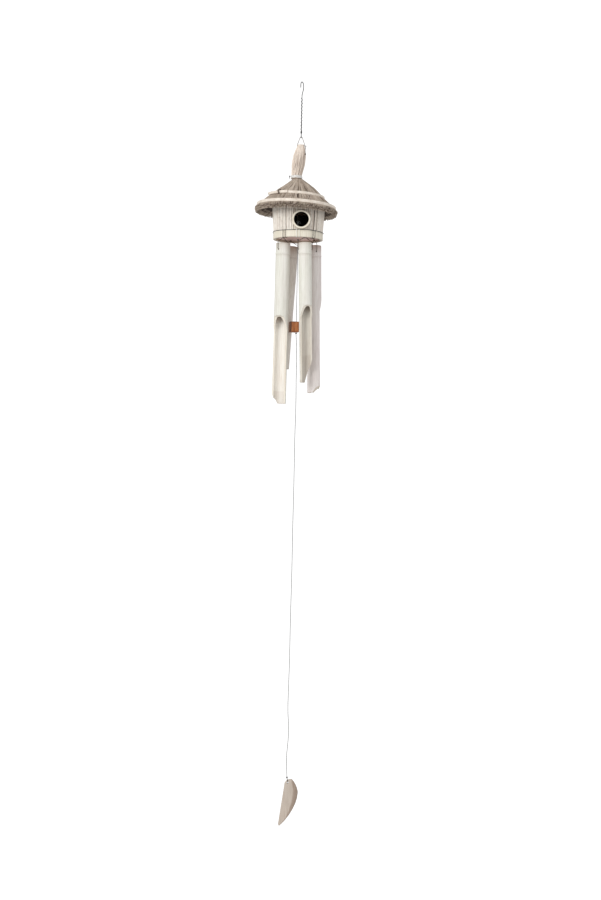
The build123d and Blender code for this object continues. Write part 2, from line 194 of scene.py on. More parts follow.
def cane(name, pale, brown):
    """Split cane with a skin that shines a little, brown in patches where the wash has worn off, and darker where a
    point's shade is set.
    """
    n = Nodes(name)
    grain = n.noise(260, 900, 5.0, 0.65)
    darkening = n.noise(70, 200, 4.0, 0.6)
    colour = n.mix(n.ramp(grain, (0.45, 0.0), (0.8, 0.8)), pale, brown)
    colour = n.mix(n.ramp(darkening, (0.55, 0.0), (0.7, 0.6)), colour, brown)
    colour = n.mix(n.attribute("shade"), colour, n.mix(1.0, colour, (0.45, 0.36, 0.28), "MULTIPLY"))
    n.bump(grain, 0.4, 0.0005)
    return n.finish(colour, 0.55)


def spun_cord(name, light, dark):
    n = Nodes(name)
    fibres = n.noise(2400, 2400, 4.0, 0.7)
    n.bump(fibres, 0.6, 0.0003)
    return n.finish(n.ramp(fibres, (0.3, dark), (0.7, light)), 0.85)


def dull_wire(name, light, dark):
    """Old galvanised wire: grey with dark oxide in patches."""
    n = Nodes(name)
    oxide = n.noise(340, 220, 5.0, 0.7)
    scratches = n.noise(3000, 250, 3.0, 0.6)
    colour = n.mix(n.ramp(oxide, (0.42, 0.0), (0.62, 1.0)), light, dark)
    n.bump(scratches, 0.3, 0.0002)
    return n.finish(colour, n.ramp(oxide, (0.3, 0.32), (0.7, 0.62)), metallic=0.35)


def clear_line(name):
    """Nylon line gone slightly cloudy."""
    n = Nodes(name)
    cloud = n.noise(800, 120, 3.0, 0.5)
    n.bump(cloud, 0.2, 0.0002)
    return n.finish(n.ramp(cloud, (0.3, 0.10), (0.7, 0.24)), 0.3, coat_weight=0.3)


def red_wood(name):
    """Orange-brown hardwood with grain along Z and dark pores, darkened where a point's shade is set."""
    n = Nodes(name)
    grain = n.noise(420, 60, 6.0, 0.65)
    pores = n.noise(1500, 240, 3.0, 0.7)
    colour = n.ramp(grain, (0.3, (0.20, 0.055, 0.020)), (0.52, (0.46, 0.155, 0.048)), (0.75, (0.66, 0.29, 0.11)))
    colour = n.mix(n.ramp(pores, (0.58, 0.0), (0.72, 0.85)), colour, (0.09, 0.028, 0.014))
    colour = n.mix(n.attribute("shade"), colour, (0.10, 0.032, 0.016))
    n.bump(n.math("ADD", grain, pores), 0.5, 0.0005)
    return n.finish(colour, 0.62)


WASHED = washed_bamboo("washed_bamboo", (0.82, 0.80, 0.745), (0.52, 0.48, 0.38), (0.34, 0.27, 0.21), (0.70, 0.72, 0.62))
PINKISH = washed_bamboo(
    "pinkish_bamboo", (0.80, 0.75, 0.72), (0.58, 0.49, 0.44), (0.28, 0.20, 0.17), (0.72, 0.63, 0.61)
)
# A slightly darker, browner copy of the washed bamboo for the second tube, which hangs in the first tube's shadow:
# painted shade.
SHADOWED = washed_bamboo(
    "shadowed_bamboo", (0.80, 0.77, 0.71), (0.56, 0.48, 0.40), (0.26, 0.18, 0.14), (0.70, 0.63, 0.56)
)
BORE = washed_bamboo("bamboo_bore", (0.88, 0.86, 0.80), (0.74, 0.66, 0.55), (0.48, 0.37, 0.28), (0.85, 0.79, 0.72))
# A darker copy of the bore for the third and fourth tubes, whose bores lie in shade: painted shade.
SHADED_BORE = washed_bamboo("shaded_bore", (0.69, 0.66, 0.59), (0.55, 0.48, 0.39), (0.36, 0.27, 0.20), (0.66, 0.60, 0.53))
CUT = washed_bamboo("bamboo_cut", (0.84, 0.80, 0.71), (0.64, 0.52, 0.37), (0.36, 0.25, 0.16), (0.76, 0.68, 0.56))
PINK = washed_bamboo("floor_wash", (0.88, 0.60, 0.53), (0.68, 0.46, 0.40), (0.36, 0.21, 0.18), (0.90, 0.76, 0.70))
CREAM = washed_bamboo("cream_bamboo", (0.83, 0.78, 0.67), (0.62, 0.52, 0.37), (0.38, 0.28, 0.18), (0.78, 0.74, 0.60))
SAIL = washed_bamboo("sail_bamboo", (0.62, 0.53, 0.45), (0.45, 0.35, 0.27), (0.27, 0.19, 0.14), (0.56, 0.50, 0.43))
SAIL_INSIDE = washed_bamboo(
    "sail_inside", (0.34, 0.28, 0.24), (0.24, 0.18, 0.14), (0.12, 0.09, 0.07), (0.30, 0.26, 0.23)
)
THATCH = dry_stalk(
    "thatch_grass", (0.59, 0.50, 0.415), (0.305, 0.235, 0.18), (0.08, 0.053, 0.037), (0.33, 0.285, 0.205)
)
SHADED = dry_stalk("shaded_grass", (0.15, 0.11, 0.085), (0.085, 0.06, 0.045), (0.03, 0.022, 0.017), (0.09, 0.07, 0.05))
BUNDLED = dry_stalk("bundled_grass", (0.88, 0.79, 0.70), (0.73, 0.62, 0.53), (0.26, 0.19, 0.15), (0.72, 0.64, 0.54))
REED = dry_stalk("split_reed", (0.90, 0.855, 0.78), (0.77, 0.69, 0.60), (0.27, 0.185, 0.13), (0.74, 0.65, 0.57))
CANE = cane("washed_cane", (0.84, 0.77, 0.68), (0.52, 0.40, 0.30))
RAW_CANE = cane("raw_cane", (0.40, 0.28, 0.17), (0.20, 0.13, 0.08))
NATURAL_CORD = spun_cord("natural_cord", (0.24, 0.19, 0.15), (0.09, 0.065, 0.05))
TIE_CORD = spun_cord("tie_cord", (0.93, 0.92, 0.90), (0.72, 0.70, 0.67))
DARK_CORD = spun_cord("dark_cord", (0.12, 0.10, 0.09), (0.03, 0.025, 0.022))
STEEL = dull_wire("hook_steel", (0.09, 0.09, 0.092), (0.03, 0.028, 0.026))
DARK_WIRE = dull_wire("binding_wire", (0.13, 0.13, 0.13), (0.04, 0.035, 0.03))
NYLON = clear_line("nylon_line")
STRIKER_WOOD = red_wood("striker_wood")


# ---- meshes


def placed(name, data):
    made = bpy.data.objects.new(name, data)
    bpy.context.collection.objects.link(made)
    return made


class Shape:
    """Points, faces, each point's shade from 0, as its material is, to 1, darkest, and each face's material. A point's
    shade is a strand's or a part's own tone in some places and painted shade in others.
    """

    def __init__(self):
        self.points, self.faces, self.shades, self.kinds = [], [], [], []

    def point(self, position, shade=0.0):
        self.points.append(tuple(position))
        self.shades.append(shade)
        return len(self.points) - 1

    def face(self, corners, kind=0):
        self.faces.append(tuple(corners))
        self.kinds.append(kind)

    def grid(self, rows, kind=0, closed=False):
        """Faces between rows of point numbers. The kind may depend on the column. A closed grid's rows are loops."""
        for row, following in zip(rows, rows[1:]):
            count = len(row)
            for i in range(count if closed else count - 1):
                j = (i + 1) % count
                self.face((row[i], row[j], following[j], following[i]), kind(i) if callable(kind) else kind)

    def ring(self, centre, side, up, radius, sides):
        """A round ring of points in the plane of two directions."""
        turns = [2 * pi * k / sides for k in range(sides)]
        return [self.point(centre + (side * cos(turn) + up * sin(turn)) * radius) for turn in turns]

    def tube(self, rings, closed=False):
        """A skin through rings of points, which closes on itself or is capped at both ends."""
        self.grid(rings + rings[:1] if closed else rings, closed=True)
        if not closed:
            self.face(reversed(rings[0]))
            self.face(rings[-1])

    def move(self, matrix):
        self.points = [tuple(matrix @ Vector(point)) for point in self.points]
        return self

    def piece(self, name, materials, body, slot, nodes=(), weld=0.0, smooth_angle=40):
        """Makes the Blender object, hangs it on its body's empty and hides the CAD nodes it stands for."""
        mesh = bpy.data.meshes.new(name)
        mesh.from_pydata(self.points, [], self.faces)
        shade = mesh.attributes.new("shade", "FLOAT", "POINT")
        shade.data.foreach_set("value", self.shades)
        for material in materials:
            mesh.materials.append(material)
        mesh.polygons.foreach_set("material_index", self.kinds)
        shaped = bmesh.new()
        shaped.from_mesh(mesh)
        if weld:
            bmesh.ops.remove_doubles(shaped, verts=shaped.verts, dist=weld)
        bmesh.ops.recalc_face_normals(shaped, faces=shaped.faces)
        shaped.to_mesh(mesh)
        shaped.free()
        mesh.shade_smooth()
        mesh.set_sharp_from_angle(angle=radians(smooth_angle))
        made = placed(name, mesh)
        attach(made, body)
        if nodes:
            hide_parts(*nodes)
        return made


def frames_along(path, closed=False):
    """An upright pair of side directions at each point of a path, carried along it without twisting."""
    count = len(path)
    out, side = [], None
    for i, here in enumerate(path):
        before = path[i - 1] if i or closed else here
        after = path[(i + 1) % count] if i < count - 1 or closed else here
        along = (after - before).normalized()
        if side is None:
            side = along.cross(Vector((0.31, 0.93, 0.19))).normalized()
        side = (side - along * side.dot(along)).normalized()
        out.append((side, along.cross(side)))
    return out


def nurbs(name, points, steps, closed=False):
    """A smooth curve that has the given points as its control points."""
    curve = bpy.data.curves.new(name, "CURVE")
    curve.dimensions = "3D"
    curve.resolution_u = steps
    spline = curve.splines.new("NURBS")
    spline.points.add(len(points) - 1)
    for control, position in zip(spline.points, points):
        control.co = (*position, 1)
    spline.use_cyclic_u = closed
    spline.order_u = 3
    spline.use_endpoint_u = not closed
    return curve


def smooth_route(points, closed=False):
    """The points along the smooth curve that has the given points as its control points."""
    curve = nurbs("route", points, 10, closed)
    holder = bpy.data.objects.new("route", curve)
    mesh = bpy.data.meshes.new_from_object(holder)
    line = [vertex.co.copy() for vertex in mesh.vertices]
    bpy.data.objects.remove(holder)
    bpy.data.meshes.remove(mesh)
    bpy.data.curves.remove(curve)
    return line


def evenly(path, step, closed=False):
    """The path again, with points about a step apart."""
    line = path + path[:1] if closed else path
    marks = [0.0]
    for a, b in zip(line, line[1:]):
        marks.append(marks[-1] + (b - a).length)
    count = max(4, round(marks[-1] / step))
    out, at = [], 0
    for i in range(count if closed else count + 1):
        target = marks[-1] * i / count
        while at < len(marks) - 2 and marks[at + 1] < target:
            at += 1
        span = max(marks[at + 1] - marks[at], 1e-9)
        out.append(line[at].lerp(line[at + 1], (target - marks[at]) / span))
    return out


# A rope's points are this many diameters apart.
ROPE_STEP = 0.38


def add_rope(shape, path, diameter, plies=2, pitch=3.2, closed=False):
    """Twisted plies round a path. The pitch is in diameters."""
    path = evenly(path, diameter * ROPE_STEP, closed)
    frames = frames_along(path, closed)
    ply = diameter * (0.29 if plies == 2 else 0.27)
    offset = diameter / 2 - ply
    turns = len(path) * ROPE_STEP / pitch
    if closed:
        turns = max(1, round(turns))
    for number in range(plies):
        rings = []
        for i, (here, (side, up)) in enumerate(zip(path, frames)):
            angle = 2 * pi * (turns * i / len(path) + number / plies)
            centre = here + (side * cos(angle) + up * sin(angle)) * offset
            rings.append(shape.ring(centre, side, up, ply, 7))
        shape.tube(rings, closed)


def add_hoop(shape, path, diameter, sides):
    """A plain round line that closes on itself."""
    frames = frames_along(path, closed=True)
    shape.tube([shape.ring(here, *pair, diameter / 2, sides) for here, pair in zip(path, frames)], closed=True)


def add_knot(shape, centre, size, cord, turns=3):
    """A tight overhand knot: one cord wound into a ball."""
    path = []
    steps = 26 * turns
    reach = size / 2 - cord / 2
    for i in range(steps):
        turn = 2 * pi * i / steps
        around, over = turn * turns, turn * (turns - 1)
        level = sin(over) * 0.75
        flat = sqrt(1 - level * level)
        path.append(Vector(centre) + Vector((cos(around) * flat, sin(around) * flat, level)) * reach)
    add_hoop(shape, path, cord, 6)
    core = bmesh.new()
    bmesh.ops.create_icosphere(core, subdivisions=2, radius=reach * 0.92)
    start = len(shape.points)
    for vertex in core.verts:
        shape.point(Vector(centre) + vertex.co)
    for face in core.faces:
        shape.face([start + vertex.index for vertex in face.verts])
    core.free()


def add_blade(shape, path, normals, width, thick, shade, end_shade=None):
    """A flat stalk along a path: four sides, slightly crowned, narrower at its ends."""
    rings = []
    count = len(path)
    for i, (here, normal) in enumerate(zip(path, normals)):
        before, after = path[max(i - 1, 0)], path[min(i + 1, count - 1)]
        across = (after - before).normalized().cross(normal).normalized()
        share = i / (count - 1)
        half = width / 2 * (0.72 + 0.28 * sin(pi * min(1, share * 1.6 + 0.15)))
        tone = shade if end_shade is None else shade + (end_shade - shade) * share**3
        rings.append([
            shape.point(here + across * half * side + normal * thick * crown, tone)
            for side, crown in ((-1, -0.5), (-0.8, 0.2), (0, 0.5), (0.8, 0.2), (1, -0.5))
        ])
    shape.tube(rings)


def rounded_box_outline(inner, outer, low, high, bevel):
    """The section of a square-edged ring with its corners taken off."""
    return [
        (inner + bevel, low), (outer - bevel, low), (outer - bevel * 0.3, low + bevel * 0.3), (outer, low + bevel),
        (outer, high - bevel), (outer - bevel * 0.3, high - bevel * 0.3), (outer - bevel, high),
        (inner + bevel, high), (inner, high - bevel), (inner, low + bevel),
    ]


# ---- the camera, the room and the light

LENS = 58
EYE = Vector((0.0091, -2.32, -0.588))
CAMERA_ROLL = -1.17
FLOOR_Z = -1.5
ROOM_RADIUS = 6.0
ROOM_HEIGHT = 7.0
ROOM_STEPS = 64


def make_camera():
    camera = placed("camera", bpy.data.cameras.new("camera"))
    camera.data.lens = LENS
    camera.data.clip_start = 0.05
    camera.matrix_world = (
        Matrix.Translation(EYE)
        @ Matrix.Rotation(radians(CAMERA_ROLL), 4, "Y")
        @ Matrix.Rotation(radians(90), 4, "X")
    )
    bpy.context.scene.camera = camera


def make_room():
    """A pale floor that curves up into a wall all round, so that every view has the same plain ground."""
    n = Nodes("room_paint")
    paper = n.noise(6, 6, 2.0, 0.5)
    n.join(n.ramp(paper, (0.0, 0.98), (1.0, 1.0)), n.shader.inputs["Emission Color"])
    material = n.finish(n.ramp(paper, (0.0, 0.20), (1.0, 0.22)), 0.9, emission_strength=0.97)
    profile = [(0.001, FLOOR_Z), (ROOM_RADIUS * 0.6, FLOOR_Z)]
    for step in range(1, 9):
        turn = radians(90 * step / 8)
        profile.append((ROOM_RADIUS * (0.6 + 0.4 * sin(turn)), FLOOR_Z + ROOM_RADIUS * 0.4 * (1 - cos(turn))))
    profile.append((ROOM_RADIUS, FLOOR_Z + ROOM_HEIGHT))
    shape = Shape()
    rows = []
    for step in range(ROOM_STEPS):
        turn = 2 * pi * step / ROOM_STEPS
        rows.append([shape.point((radius * cos(turn), radius * sin(turn), z)) for radius, z in profile])
    for row, after in zip(rows, rows[1:] + rows[:1]):
        for i in range(len(profile) - 1):
            shape.face((row[i], after[i], after[i + 1], row[i + 1]))
    mesh = bpy.data.meshes.new("room")
    mesh.from_pydata(shape.points, [], shape.faces)
    mesh.materials.append(material)
    mesh.shade_smooth()
    room = placed("room", mesh)
    room.visible_diffuse = room.visible_glossy = room.visible_shadow = False


def area_light(name, position, target, size, power):
    light = placed(name, bpy.data.lights.new(name, "AREA"))
    light.data.shape = "DISK"
    light.data.size = size
    light.data.energy = power
    light.location = position
    light.rotation_euler = (Vector(target) - Vector(position)).to_track_quat("-Z", "Y").to_euler()


def make_light():
    world = bpy.data.worlds.new("studio")
    world.use_nodes = True
    background = world.node_tree.nodes["Background"]
    background.inputs["Color"].default_value = (1, 1, 1, 1)
    background.inputs["Strength"].default_value = 0.66
    bpy.context.scene.world = world
    area_light("key_light", (-1.45, -2.0, 0.25), (0, 0, -0.45), 1.2, 33)
    area_light("fill_light", (2.2, -1.6, 0.1), (0, 0, -0.5), 1.6, 9)
    bpy.context.scene.view_settings.view_transform = "Standard"


make_camera()
make_room()
make_light()


# ---- the line down the middle

LINE = 1.0 * MM
HOUSE_X = middle("base_ring").x
line_low, line_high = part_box("striker_line")

# The route of the line from the striker's stop knot to the sail's knot.
SAIL_LINE_ROUTE = [
    (-0.0018, 0, -0.4039), (0.0002, 0.0004, -0.432), (-0.0003, -0.0003, -0.470), (0.0004, 0.0002, -0.516),
    (-0.0006, 0.0005, -0.572), (-0.0003, -0.0002, -0.640), (-0.0009, -0.0005, -0.712), (-0.0007, 0.0003, -0.786),
    (-0.0016, 0.0005, -0.856), (-0.0015, -0.0003, -0.920), (-0.0023, -0.0005, -0.970), (-0.0029, 0.0002, -1.004),
    (-0.001, 0.0005, -1.028), (-0.001, 0.0001, -1.052), (-0.0032, -0.0002, -1.074), (-0.0030, 0, -1.092),
    (-0.0020, 0, -1.1104),
]


def free_line(name, points, node, body):
    """A round nylon line on one smooth curve with the points as its control points."""
    curve = nurbs(name, points, 12)
    curve.bevel_depth = LINE / 2
    curve.bevel_resolution = 3
    curve.use_fill_caps = True
    curve.materials.append(NYLON)
    line = placed(name, curve)
    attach(line, body)
    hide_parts(node)
    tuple(points[0])


STRIKER_LINE_ROUTE = [(HOUSE_X, 0, line_high[2]), (HOUSE_X, 0, -0.30), (HOUSE_X, 0, -0.35), (HOUSE_X, 0, line_low[2])]
free_line("striker_cord", STRIKER_LINE_ROUTE, "striker_line", "striker")
free_line("sail_cord", SAIL_LINE_ROUTE, "sail_line", "sail_string")


# ---- the hook and the hanger's cord


def refinish(node, material):
    """A CAD node whose shape is right gets a better material."""
    for kept in frame["nodes"][node].material_slots:
        kept.material = material


def route(*points):
    return [Vector(point) * MM for point in points]


for node in ("hook_wire", "hook_wrap", "hook_eye_binding"):
    refinish(node, STEEL)

hanger_low, hanger_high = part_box("hanger_cord")
HANGER_HALF = hanger_high[0] / MM - 0.5
HANGER_TOP = hanger_high[2] / MM - 0.5
HANGER_FOOT = hanger_low[2] / MM + 0.5
loop = Shape()
loop_route = route(
    (-1.4, 0, HANGER_TOP), (1.4, 0, HANGER_TOP), (2.3, 0, HANGER_TOP - 2.5), (6.1, 0, HANGER_FOOT + 2.2),
    (HANGER_HALF, 0, HANGER_FOOT), (4, 0, HANGER_FOOT), (-4, 0, HANGER_FOOT), (-HANGER_HALF, 0, HANGER_FOOT),
    (-6.1, 0, HANGER_FOOT + 2.2), (-2.3, 0, HANGER_TOP - 2.5),
)
add_rope(loop, smooth_route(loop_route, closed=True), 1.0 * MM, plies=3, closed=True)
loop.piece("hanger_loop_cord", [NATURAL_CORD], "hanger_loop", "natural_cord", ["hanger_cord"])

tail = Shape()
knot_x = HANGER_HALF + 1.5
tail_route = route(
    (knot_x, 0, HANGER_FOOT + 0.6), (knot_x - 0.9, -2.5, HANGER_FOOT - 5),
    (knot_x - 1.1, -4.5, HANGER_FOOT - 9.5), (knot_x - 0.6, -6.0, HANGER_FOOT - 13.5),
)
add_rope(tail, smooth_route(tail_route), 1.0 * MM, plies=3)
add_knot(tail, tail_route[0], 1.9 * MM, 0.7 * MM)
add_knot(tail, tail_route[-1], 2.8 * MM, 1.0 * MM)
tail.piece("hanger_tail_cord", [NATURAL_CORD], "house", "natural_cord", ["hanger_cord_tail"])


# ---- the top knot and its tie

# The bundle of grass: the centre's X, the radius and the height of each section.
BUNDLE = [
    (0, 4.8, -99.5), (-0.8, 7.9, -108), (-2.1, 10.3, -118), (-3.55, 10.7, -131), (-6.1, 8.3, -150), (-6.2, 8.0, -154.5),
]
BUNDLE_STALKS = 118
BUNDLE_CORE_STALKS = 46


def bundle_at(height):
    """The bundle's centre X and radius at a height, in millimetres."""
    for upper, lower in zip(BUNDLE, BUNDLE[1:]):
        if height >= lower[2]:
            share = max(0.0, (upper[2] - height) / (upper[2] - lower[2]))
            return upper[0] + (lower[0] - upper[0]) * share, upper[1] + (lower[1] - upper[1]) * share
    return BUNDLE[-1][:2]


def bundle_stalk(shape, degrees, depth, top, foot, width, shade):
    """One stalk that follows the bundle's skin at a depth under it."""
    twist = uniform(-7, 7)
    path, normals = [], []
    steps = 12
    for i in range(steps + 1):
        height = top + (foot - top) * i / steps
        centre, radius = bundle_at(height)
        turn = radians(degrees + twist * i / steps + 2.0 * sin(i * 0.9 + degrees))
        reach = radius * (1 - depth) - 0.28
        path.append(Vector((centre + reach * cos(turn), reach * sin(turn), height)) * MM)
        normals.append(Vector((cos(turn), sin(turn), 0)))
    add_blade(shape, path, normals, width * MM, 0.8 * MM, shade)


topknot = Shape()
# The core under the stalks is coloured darkest, and the deeper layer of stalks darker: painted shade between and under
# the stalks.
core_rows = []
for centre_x, radius, height in BUNDLE:
    core_rows.append([
        topknot.point(polar(Vector((centre_x * MM, 0, 0)), radius - 1.0, 15 * k, height - 0.6), 1.0)
        for k in range(24)
    ])
topknot.grid(core_rows, closed=True)
topknot.face(core_rows[0])
topknot.face(reversed(core_rows[-1]))
for number in range(BUNDLE_STALKS):
    angle = 360 * number / BUNDLE_STALKS + uniform(-2, 2)
    layer = 0.0 if number % 2 else 0.07
    bundle_stalk(
        topknot, angle, layer, -99.7 - uniform(0, 1.6) - 1.5 * layer, -154.3,
        uniform(0.7, 1.25), choice((0.0, 0.1, 0.15, 0.25, 0.4, 0.65)) + 0.2 * (layer > 0),
    )
for number in range(BUNDLE_CORE_STALKS):
    bundle_stalk(
        topknot, uniform(0, 360), uniform(0.15, 0.85), -99.8 - uniform(0, 2.2), -107,
        uniform(0.8, 1.1), uniform(0.1, 0.7),
    )
topknot.piece("topknot_grass", [BUNDLED], "house", "thatch", ["thatch_topknot"])

NECK = Vector((-6.2, 0, 0)) * MM
NECK_TIE_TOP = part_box("neck_tie")[1][2] / MM - 0.6
NECK_TURNS = 4
neck = Shape()
wound = []
for i in range(NECK_TURNS * 40):
    ease = 0.1 * sin(radians(9 * i * 1.7))
    wound.append(polar(NECK, 8.85 + ease, 9 * i + 180, NECK_TIE_TOP - i / 40 - 0.1))
add_rope(neck, wound, 1.15 * MM, pitch=4.5)
neck.piece("neck_binding", [TIE_CORD], "house", "tie_cord", ["neck_tie"])

twist = Shape()
twist_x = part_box("neck_tie_twist")[1][0] / MM - 0.5
twist_route = route(
    (twist_x - 0.6, -1.5, NECK_TIE_TOP - 0.6), (twist_x - 1.5, -2.4, NECK_TIE_TOP - 2.4),
    (twist_x - 0.9, -2.8, NECK_TIE_TOP - 4.6),
)
add_rope(twist, smooth_route(twist_route), 1.15 * MM)
add_knot(twist, twist_route[0], 2.3 * MM, 1.0 * MM)
twist.piece("neck_binding_knot", [DARK_CORD], "house", "dark_cord", ["neck_tie_twist"])


# ---- the thatched roof

ROOF = Vector((-5.6, 0, 0)) * MM
ROOF_TOP = (8.0, -155.1)
# The roof's shapes are made level and then tip down to the right.
ROOF_TILT = radians(2.5)
TILT_ABOUT = Matrix.Translation(ROOF + Vector((0, 0, -0.2)))
TILT = TILT_ABOUT @ Matrix.Rotation(ROOF_TILT, 4, "Y") @ TILT_ABOUT.inverted()
UPPER_HOOP = (44.6, -183.4)
LOWER_HOOP = (63.6, -198.9)
HOOP_HEIGHT = 5.2
SLOPE = [ROOF_TOP, (17, -163.2), (29, -172), (41.2, -182), (52, -191.2), (61.7, -199.5), (67.1, -205.0)]
UNDERSIDE = [(57.5, -208), (14, -171)]


def along(points, radius):
    """The height of a line of (radius, height) points at a radius."""
    for a, b in zip(points, points[1:]):
        if min(a[0], b[0]) <= radius <= max(a[0], b[0]):
            return a[1] + (b[1] - a[1]) * (radius - a[0]) / (b[0] - a[0])
    return min(points, key=lambda point: abs(point[0] - radius))[1]


def roof_blade(shape, degrees, start, end, lift, width, shade, droop=0.0):
    """One stalk down the slope, lift millimetres above it, with a drooping tip if it reaches past the eave."""
    drift = uniform(-1.6, 1.6)
    wave = uniform(0, 6)
    steps = 9
    path, normals = [], []
    for i in range(steps + 1):
        radius = start + (end - start) * i / steps
        height = along(SLOPE, radius) + lift + 0.22 * sin(wave + i * 1.3)
        if 8 < radius < 43:
            height += 2.4 * max(0.0, cos(radians(degrees))) * sin(pi * (radius - 8) / 35)
        height -= droop * (i / steps) ** 4
        turn = degrees + drift * i / steps * 20 / max(radius, 12)
        path.append(polar(ROOF, radius, turn, height))
        normals.append(way(turn, 0.64, 0.77))
    add_blade(shape, path, normals, width * MM, 0.9 * MM, shade, shade + uniform(-0.1, 0.25))


def eave_blade(shape, degrees, radius_out, height, width, shade):
    """The end of a stalk inside the thatch's thickness, seen at the cut edge."""
    path = [polar(ROOF, radius_out - 11 + 11 * i / 3, degrees, height + (3 - i) * 2.6) for i in range(4)]
    add_blade(shape, path, [way(degrees, 0.58, 0.81)] * 4, width * MM, 1.1 * MM, shade)


thatch = Shape()
# The skin under the stalks is coloured nearly darkest: painted shade in the gaps between the stalks.
skin = [(r - 1.4, z - 1.0) for r, z in SLOPE[:-1]] + [(64.7, -205.4), (63.8, -209.2), (57.0, -206.8), (14.4, -170.2)]
skin_rows = []
for step in range(96):
    skin_rows.append([thatch.point(polar(ROOF, r, 3.75 * step, z), 0.95) for r, z in skin])
thatch.grid(skin_rows + skin_rows[:1], closed=True)

TONES = (0.0, 0.08, 0.15, 0.2, 0.3, 0.42, 0.55, 0.8)
for start, count in ((7.6, 74), (15, 72), (25, 120), (38, 180), (50, 190)):
    for number in range(count):
        first = start + uniform(0, 5) if start > 8 else start
        roof_blade(
            thatch, 360 * number / count + uniform(-2.2, 2.2), first, uniform(64.2, 66.8),
            uniform(-0.75, -0.25), uniform(1.1, 2.3), choice(TONES), uniform(0, 0.8),
        )
for depth, count in ((1.6, 170), (3.2, 170), (4.9, 180), (6.2, 190)):
    for number in range(count):
        reach = 66.6 - depth * 0.28 + uniform(-1.4, 0.5)
        eave_blade(
            thatch, 360 * number / count + uniform(-1, 1), reach, -204.9 - depth + uniform(-0.5, 0.4),
            uniform(1.3, 2.4), choice(TONES) * 0.8 + 0.1,
        )
thatch.move(TILT).piece("roof_grass", [THATCH], "house", "thatch", ["thatch_roof"])

underside = Shape()
for number in range(150):
    degrees = 2.4 * number + uniform(-0.8, 0.8)
    first = uniform(14.5, 20)
    path = []
    for i in range(6):
        radius = first + (56.6 - first) * i / 5
        path.append(polar(ROOF, radius, degrees, along(UNDERSIDE, radius) + 0.7))
    normals = [way(degrees, -0.6, -0.8)] * 6
    add_blade(underside, path, normals, uniform(1.8, 2.8) * MM, 1.0 * MM, uniform(0.3, 1.0))
underside.move(TILT).piece("roof_underside_stalks", [SHADED], "house", "thatch")


def cane_hoop(name, node, lap, outer, level):
    """A split-cane hoop with a rounded face, not quite round or level, and a step where its ends lap."""
    phase = uniform(0, 360)
    shape = Shape()
    rows = []
    outline = rounded_box_outline(outer - 2.5, outer, level - HOOP_HEIGHT / 2, level + HOOP_HEIGHT / 2, 0.9)
    for step in range(180):
        degrees = 2.0 * step
        bend = 0.25 * sin(radians(3 * degrees + phase)) + 0.15 * sin(radians(7 * degrees))
        rise = 0.22 * sin(radians(2 * degrees + phase))
        past = (degrees - lap) % 360
        thin = 0.8 * max(0.0, 1 - past / 14) - 0.5 * max(0.0, 1 - (360 - past) / 10)
        row = []
        for radius, height in outline:
            share = (radius - outer + 2.5) / 2.5
            tone = 0.35 * (abs(height - level) > 2.2) + 0.15 * max(0.0, sin(degrees * 0.31))
            reach = radius + bend * 0.5 - 0.2 - thin * share * 0.6
            row.append(shape.point(polar(ROOF, reach, degrees, height + rise * 0.6), tone))
        rows.append(row)
    shape.grid(rows + rows[:1], closed=True)
    shape.move(TILT).piece(name, [CANE], "house", "cane", [node])


cane_hoop("upper_hoop_cane", "roof_hoop_upper", 205, *UPPER_HOOP)
cane_hoop("lower_hoop_cane", "roof_hoop_lower", 62, *LOWER_HOOP)

ring_shape = Shape()
FRAME_RING = (34, -193.2)
ring_path = [
    polar(ROOF, FRAME_RING[0] + 0.3 * sin(k * 0.35), 4 * k, FRAME_RING[1] + 0.2 * sin(k * 0.22)) for k in range(90)
]
add_hoop(ring_shape, ring_path, 2.9 * MM, 10)
ring_shape.move(TILT).piece("frame_ring_cane", [RAW_CANE], "house", "raw_cane", ["roof_frame_ring"])

HOOP_RADIUS, HOOP_Z = UPPER_HOOP
loose = Shape()
LOOSE_END = ((251, 1.5, 0.4), (238, 1.8, 0.3), (226, 2.0, 0.2), (215, 2.4, 0.0), (207, 3.2, -0.3), (201.5, 4.1, -0.5))
LOOSE_SECTION = (
    (-0.9, -1.8), (-0.9, 1.8), (-0.5, 2.15), (0.4, 2.15), (0.9, 1.6), (1.0, 0.0), (0.9, -1.6), (0.4, -2.15),
    (-0.5, -2.15),
)
end_line = smooth_route([polar(ROOF, HOOP_RADIUS + out, degrees, HOOP_Z + up) for degrees, out, up in LOOSE_END])
rows = []
for i, here in enumerate(end_line):
    outward = Vector((here.x - ROOF.x, here.y, 0)).normalized()
    taper = min(1.0, 0.88 + 0.12 * (len(end_line) - 1 - i) / 3)
    row = []
    for out, up in LOOSE_SECTION:
        tone = 0.7 if i > len(end_line) - 4 else 0.3 * (abs(up) > 2.0)
        row.append(loose.point(here + outward * out * taper * MM + Vector((0, 0, up * taper * MM)), tone))
    rows.append(row)
loose.tube(rows)
loose.move(TILT).piece("upper_hoop_loose_end", [CANE], "house", "cane", ["roof_hoop_upper_end"])

tie = Shape()
TIE_ANGLE = 233
tie_centre = polar(ROOF, HOOP_RADIUS + 0.2, TIE_ANGLE, HOOP_Z)
tie_out = way(TIE_ANGLE)
tie_side = Vector((-tie_out.y, tie_out.x, 0))
coil = []
for i in range(3 * 24 + 1):
    turn = radians(15 * i)
    reach = tie_out * cos(turn) + Vector((0, 0, 1)) * sin(turn)
    coil.append(tie_centre + reach * 4.2 * MM + tie_side * (i / 24 - 1.5) * 0.95 * MM)
add_rope(tie, coil, 0.95 * MM)
add_knot(tie, tie_centre + tie_out * 4.1 * MM, 2.0 * MM, 0.8 * MM)
tie.move(TILT).piece("hoop_binding", [NATURAL_CORD], "house", "natural_cord", ["roof_hoop_tie"])


# ---- the house's wall

